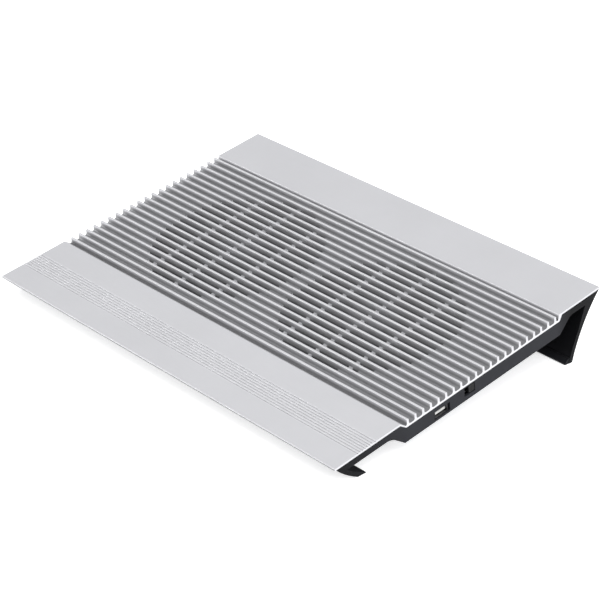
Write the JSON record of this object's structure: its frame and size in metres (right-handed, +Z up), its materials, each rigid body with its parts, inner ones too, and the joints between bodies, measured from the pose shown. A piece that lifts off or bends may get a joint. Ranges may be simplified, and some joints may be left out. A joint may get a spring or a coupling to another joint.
{
  "type": "laptop cooling pad",
  "caption": "Sloping laptop cooling pad: a finned aluminium top plate with two round fields of vent slots over a black tray that holds slim fans, standing on a curved front lip and a rear leg.",
  "frame": {"origin": "on the desk, under the middle of the pad's bounding box", "axes": "+X to the right along the pad's width, +Y towards the rear, +Z up from the desk; the pad slopes 8 degrees up to the rear"},
  "size_m": [0.38, 0.2754, 0.0554],
  "materials": {
    "plate_aluminium": "fine-blasted, clear anodised extrusion with brighter cut ends",
    "tray_plastic": "fine-textured charcoal moulding",
    "foot_rubber": "matt rubber strip",
    "guard_plastic": "satin black moulding",
    "fan_frame_plastic": "satin black moulding",
    "impeller_plastic": "semi-gloss black moulding",
    "magnet_ferrite": "dark bonded ferrite",
    "shaft_steel": "ground steel",
    "sleeve_bronze": "sintered bronze",
    "core_steel": "stacked steel laminations",
    "winding_copper": "enamelled copper wire",
    "circuit_board": "green solder mask with copper tracks",
    "label_film": "plain silver film",
    "lead_insulation": "flexible insulation",
    "screw_black": "black zinc",
    "screw_zinc": "bright zinc",
    "chip_epoxy": "moulded epoxy",
    "capacitor_can": "drawn aluminium can",
    "connector_nylon": "natural nylon",
    "socket_steel": "dark-plated steel",
    "tongue_white": "white thermoplastic",
    "contact_gold": "gold flash",
    "switch_steel": "tin-plated steel",
    "knob_plastic": "satin black moulding"
  },
  "bodies": {
    "pad": {"top_panel": "plate_aluminium", "base_shell": "tray_plastic", "front_foot_strip": "foot_rubber", "rear_foot_strip": "foot_rubber", "left_intake_guard": "guard_plastic", "right_intake_guard": "guard_plastic", "left_fan_frame": "fan_frame_plastic", "right_fan_frame": "fan_frame_plastic", "left_bearing_sleeve": "sleeve_bronze", "right_bearing_sleeve": "sleeve_bronze", "left_stator_core": "core_steel", "right_stator_core": "core_steel", "left_windings": "winding_copper", "right_windings": "winding_copper", "left_motor_board": "circuit_board", "right_motor_board": "circuit_board", "left_hub_label": "label_film", "right_hub_label": "label_film", "left_fan_lead": "lead_insulation", "right_fan_lead": "lead_insulation", "fan_screws": "screw_black", "panel_screws": "screw_black", "hub_board": "circuit_board", "hub_controller": "chip_epoxy", "board_capacitors": "capacitor_can", "lead_headers": "connector_nylon", "lead_plugs": "connector_nylon", "board_screws": "screw_zinc", "usb_shell": "socket_steel", "usb_tongue": "tongue_white", "usb_contacts": "contact_gold", "switch_body": "switch_steel", "inlet_board": "circuit_board", "inlet_shell": "switch_steel", "inlet_tongue": "knob_plastic", "power_lead": "lead_insulation"},
    "left_rotor": {"left_impeller": "impeller_plastic", "left_ring_magnet": "magnet_ferrite", "left_shaft": "shaft_steel"},
    "right_rotor": {"right_impeller": "impeller_plastic", "right_ring_magnet": "magnet_ferrite", "right_shaft": "shaft_steel"},
    "switch_slider": {"switch_knob": "knob_plastic"}
  },
  "joints": [
    {"name": "left_fan_spin", "type": "hinge", "parent": "pad", "child": "left_rotor", "pos_m": [-0.076, 0.00966, 0.0253], "axis": [0, -0.1392, 0.9903], "continuous": true},
    {"name": "right_fan_spin", "type": "hinge", "parent": "pad", "child": "right_rotor", "pos_m": [0.076, 0.00966, 0.0253], "axis": [0, -0.1392, 0.9903], "continuous": true},
    {"name": "power_switch_slide", "type": "slide", "parent": "pad", "child": "switch_slider", "axis": [0, 0.9903, 0.1392], "range_m": [-0.0045, 0]}
  ]
}
